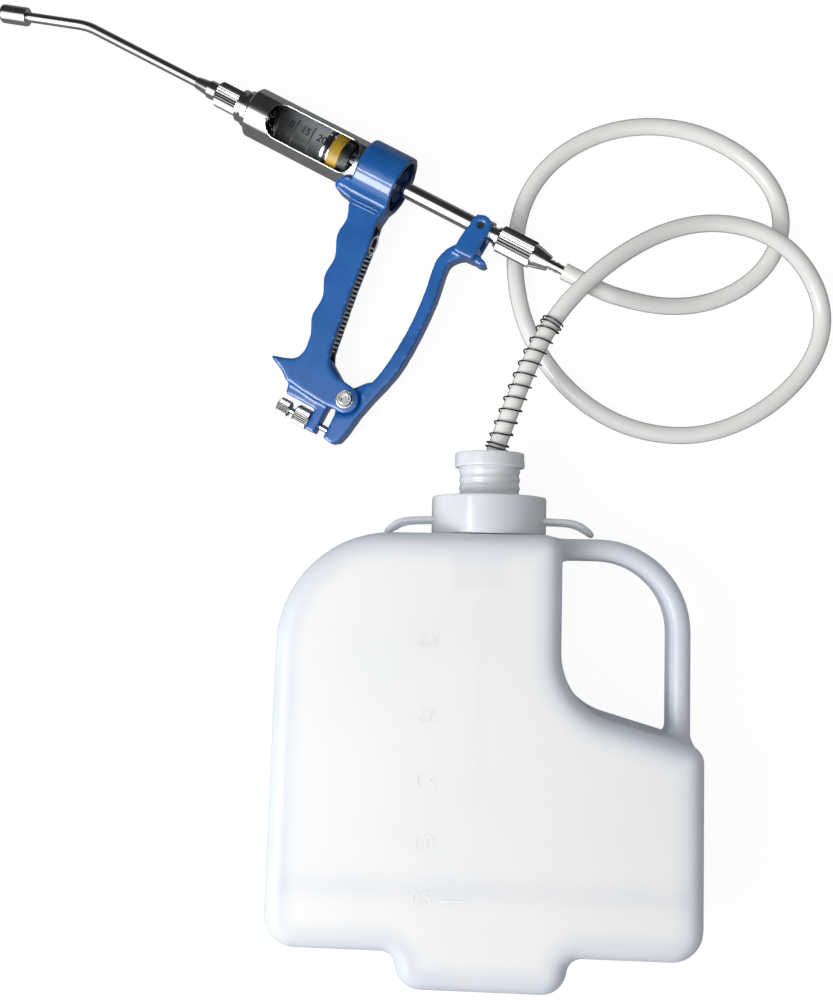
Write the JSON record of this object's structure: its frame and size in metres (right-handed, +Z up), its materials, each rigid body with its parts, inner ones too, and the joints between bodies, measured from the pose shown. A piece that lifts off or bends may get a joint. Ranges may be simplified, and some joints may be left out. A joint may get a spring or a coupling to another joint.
{
  "type": "livestock drencher",
  "caption": "Hand-squeezed livestock drench gun with a bent spout and dosing barrel, joined by a clear hose to a translucent supply bottle with a side grip.",
  "frame": {"origin": "centre of the bottle's flat back face, which lies on the floor", "axes": "+Z up from the floor through the bottle's thickness, +Y from the bottle's foot to its neck, +X towards the side grip"},
  "size_m": [0.5086, 0.5668, 0.078],
  "materials": {
    "milky_plastic": "translucent milky polyethylene, satin",
    "grey_rubber": "smooth grey rubber",
    "clear_tube": "clear flexible vinyl, glossy",
    "spring_steel": "drawn spring wire, slightly dull",
    "chrome": "bright chrome plating",
    "clear_glass": "clear glass with a printed volume scale",
    "black_rubber": "smooth black rubber",
    "piston_metal": "turned metal",
    "yellow_plastic": "amber yellow plastic",
    "blue_paint": "glossy blue paint on a casting"
  },
  "bodies": {
    "base": {"bottle": "milky_plastic", "neck_collar": "milky_plastic", "neck_gasket": "grey_rubber", "strap_loops": "milky_plastic", "hose_gland": "milky_plastic", "dip_tube": "clear_tube", "strainer": "milky_plastic", "hose": "clear_tube", "hose_spring": "spring_steel", "outlet_adapter": "chrome", "outlet_spring": "spring_steel", "barrel_sleeve": "chrome", "dose_cylinder": "clear_glass", "front_seal": "black_rubber", "rear_seal": "black_rubber", "rod_gland": "blue_paint", "grip_handle": "blue_paint", "pivot_screw": "chrome", "pivot_nut": "chrome", "return_spring": "spring_steel", "spring_anchor": "chrome"},
    "nozzle": {"nozzle_tip": "chrome", "nozzle_tube": "chrome", "nozzle_ferrule": "chrome"},
    "nozzle_nut": {"nozzle_nut": "chrome"},
    "outlet_valve": {"outlet_ball": "spring_steel"},
    "lever": {"squeeze_lever": "blue_paint", "link_pins": "spring_steel"},
    "plunger": {"piston_rod": "chrome", "piston_head": "piston_metal", "piston_oring": "black_rubber", "piston_band": "yellow_plastic", "piston_cup": "black_rubber", "rod_collar": "chrome", "hose_barb": "chrome", "inlet_spring": "spring_steel"},
    "inlet_nut": {"inlet_nut": "chrome"},
    "inlet_valve": {"inlet_ball": "spring_steel"},
    "dose_stop": {"dose_screw": "chrome"},
    "dose_knob": {"dose_knob": "chrome"},
    "dose_lock_nut": {"dose_lock_nut": "chrome"},
    "fill_spigot": {"fill_spigot": "milky_plastic"}
  },
  "joints": [
    {"name": "lever_squeeze", "type": "hinge", "parent": "base", "child": "lever", "pos_m": [-0.08483, 0.18996, 0.01245], "axis": [-0.0746, -0.0418, 0.9963], "range_deg": [0, 20], "stiffness_Nm_per_rad": 2, "springref_deg": -11.46, "deforming": ["return_spring"]},
    {"name": "plunger_slide", "type": "slide", "parent": "base", "child": "plunger", "axis": [-0.8812, 0.4705, -0.0462], "range_m": [0, 0.04449]},
    {"name": "nozzle_swivel", "type": "hinge", "parent": "base", "child": "nozzle", "pos_m": [-0.16523, 0.37536, 0.01421], "axis": [0.8812, -0.4705, 0.0462], "continuous": true},
    {"name": "nozzle_nut_turn", "type": "hinge", "parent": "base", "child": "nozzle_nut", "pos_m": [-0.16082, 0.373, 0.01444], "axis": [0.8812, -0.4705, 0.0462], "continuous": true},
    {"name": "outlet_valve_lift", "type": "slide", "parent": "base", "child": "outlet_valve", "axis": [-0.8812, 0.4705, -0.0462], "range_m": [0, 0.002], "stiffness_N_per_m": 60, "springref_m": -0.002, "deforming": ["outlet_spring"]},
    {"name": "inlet_nut_turn", "type": "hinge", "parent": "plunger", "child": "inlet_nut", "pos_m": [0.01101, 0.28125, 0.02346], "axis": [0.8812, -0.4705, 0.0462], "continuous": true},
    {"name": "inlet_valve_lift", "type": "slide", "parent": "plunger", "child": "inlet_valve", "axis": [-0.8812, 0.4705, -0.0462], "range_m": [0, 0.0015], "stiffness_N_per_m": 60, "springref_m": -0.002, "deforming": ["inlet_spring"]},
    {"name": "dose_stop_slide", "type": "slide", "parent": "base", "child": "dose_stop", "axis": [-0.8812, 0.4705, -0.0462], "range_m": [0, 0.005]},
    {"name": "dose_knob_turn", "type": "hinge", "parent": "dose_stop", "child": "dose_knob", "pos_m": [-0.12283, 0.18651, 0.00946], "axis": [-0.8812, 0.4705, -0.0462], "range_deg": [0, 1804]},
    {"name": "dose_lock_nut_turn", "type": "hinge", "parent": "base", "child": "dose_lock_nut", "pos_m": [-0.11137, 0.18039, 0.01006], "axis": [0.8812, -0.4705, 0.0462], "continuous": true},
    {"name": "fill_spigot_turn", "type": "hinge", "parent": "base", "child": "fill_spigot", "pos_m": [0, 0.14, 0.039], "axis": [0, 1, 0], "continuous": true}
  ],
  "couplings": [
    {"joint": "plunger_slide", "follows": "lever_squeeze", "m_per_rad": 0.12717},
    {"joint": "dose_knob_turn", "follows": "dose_stop_slide", "rad_per_m": 6283.2}
  ]
}
